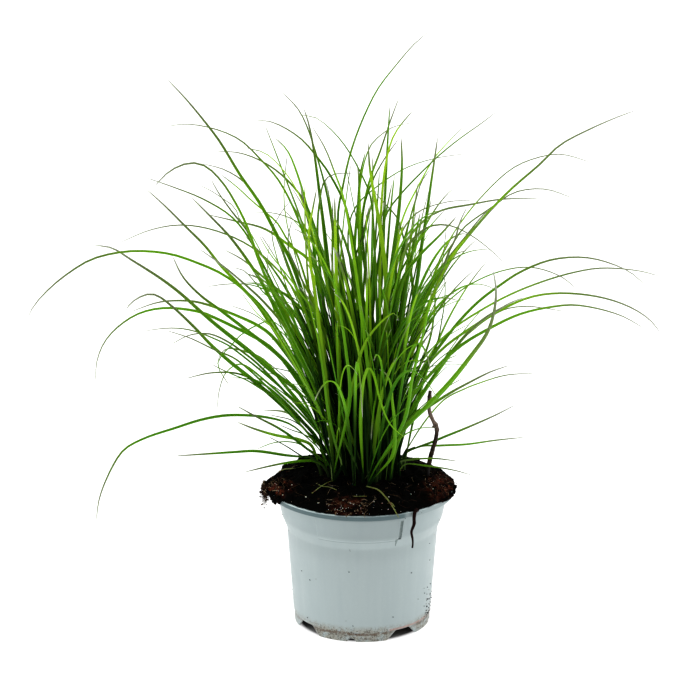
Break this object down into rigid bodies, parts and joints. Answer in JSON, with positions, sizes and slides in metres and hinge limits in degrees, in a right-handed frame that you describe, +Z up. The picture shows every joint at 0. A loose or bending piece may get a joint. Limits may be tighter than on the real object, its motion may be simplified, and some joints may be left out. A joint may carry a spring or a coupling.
{
  "type": "potted ornamental grass",
  "caption": "Clump of narrow arching grass blades growing in peat in a round plastic nursery pot.",
  "frame": {"origin": "on the ground under the middle of the pot", "axes": "+Z up, -Y towards the side with the label panel"},
  "size_m": [0.576, 0.524, 0.5472],
  "materials": {
    "pot": "satin grey-blue polypropylene, dusty and soiled round the foot",
    "peat": "moist fibrous peat with grit and fine roots",
    "grass": "living blades, satin, green with purplish drying tips",
    "twig": "thin brown bark",
    "root": "dark fibrous root",
    "straw": "yellowing dying blade"
  },
  "bodies": {
    "root": {"pot": "pot", "peat": "peat", "twig": "twig", "root_fibre": "root", "laid_blade": "straw", "shoot_back_01": "grass", "shoot_back_02": "grass", "shoot_back_03": "grass", "shoot_back_04": "grass", "shoot_back_05": "grass", "shoot_front_01": "grass", "shoot_front_02": "grass", "shoot_front_03": "grass", "shoot_front_04": "grass", "shoot_front_05": "grass", "shoot_front_06": "grass", "shoot_front_07": "grass", "shoot_front_08": "grass", "shoot_left_01": "grass", "shoot_left_02": "grass", "shoot_left_03": "grass", "shoot_left_04": "grass", "shoot_left_05": "grass", "shoot_left_06": "grass", "shoot_left_07": "grass", "shoot_left_08": "grass", "shoot_left_09": "grass", "shoot_left_10": "grass", "shoot_left_11": "grass", "shoot_left_12": "grass", "shoot_left_13": "grass", "shoot_left_14": "grass", "shoot_left_15": "grass", "shoot_left_16": "grass", "shoot_right_01": "grass", "shoot_right_02": "grass", "shoot_right_03": "grass", "shoot_right_04": "grass", "shoot_right_05": "grass", "shoot_right_06": "grass", "shoot_right_07": "grass", "shoot_right_08": "grass", "shoot_right_09": "grass", "shoot_right_10": "grass", "shoot_right_11": "grass", "shoot_right_12": "grass", "shoot_right_13": "grass", "shoot_right_14": "grass", "shoot_top_01": "grass", "shoot_top_02": "grass", "shoot_top_03": "grass", "shoot_top_04": "grass", "shoot_top_05": "grass", "shoot_top_06": "grass", "shoot_top_07": "grass", "shoot_top_08": "grass", "shoot_top_09": "grass"}
  },
  "joints": []
}
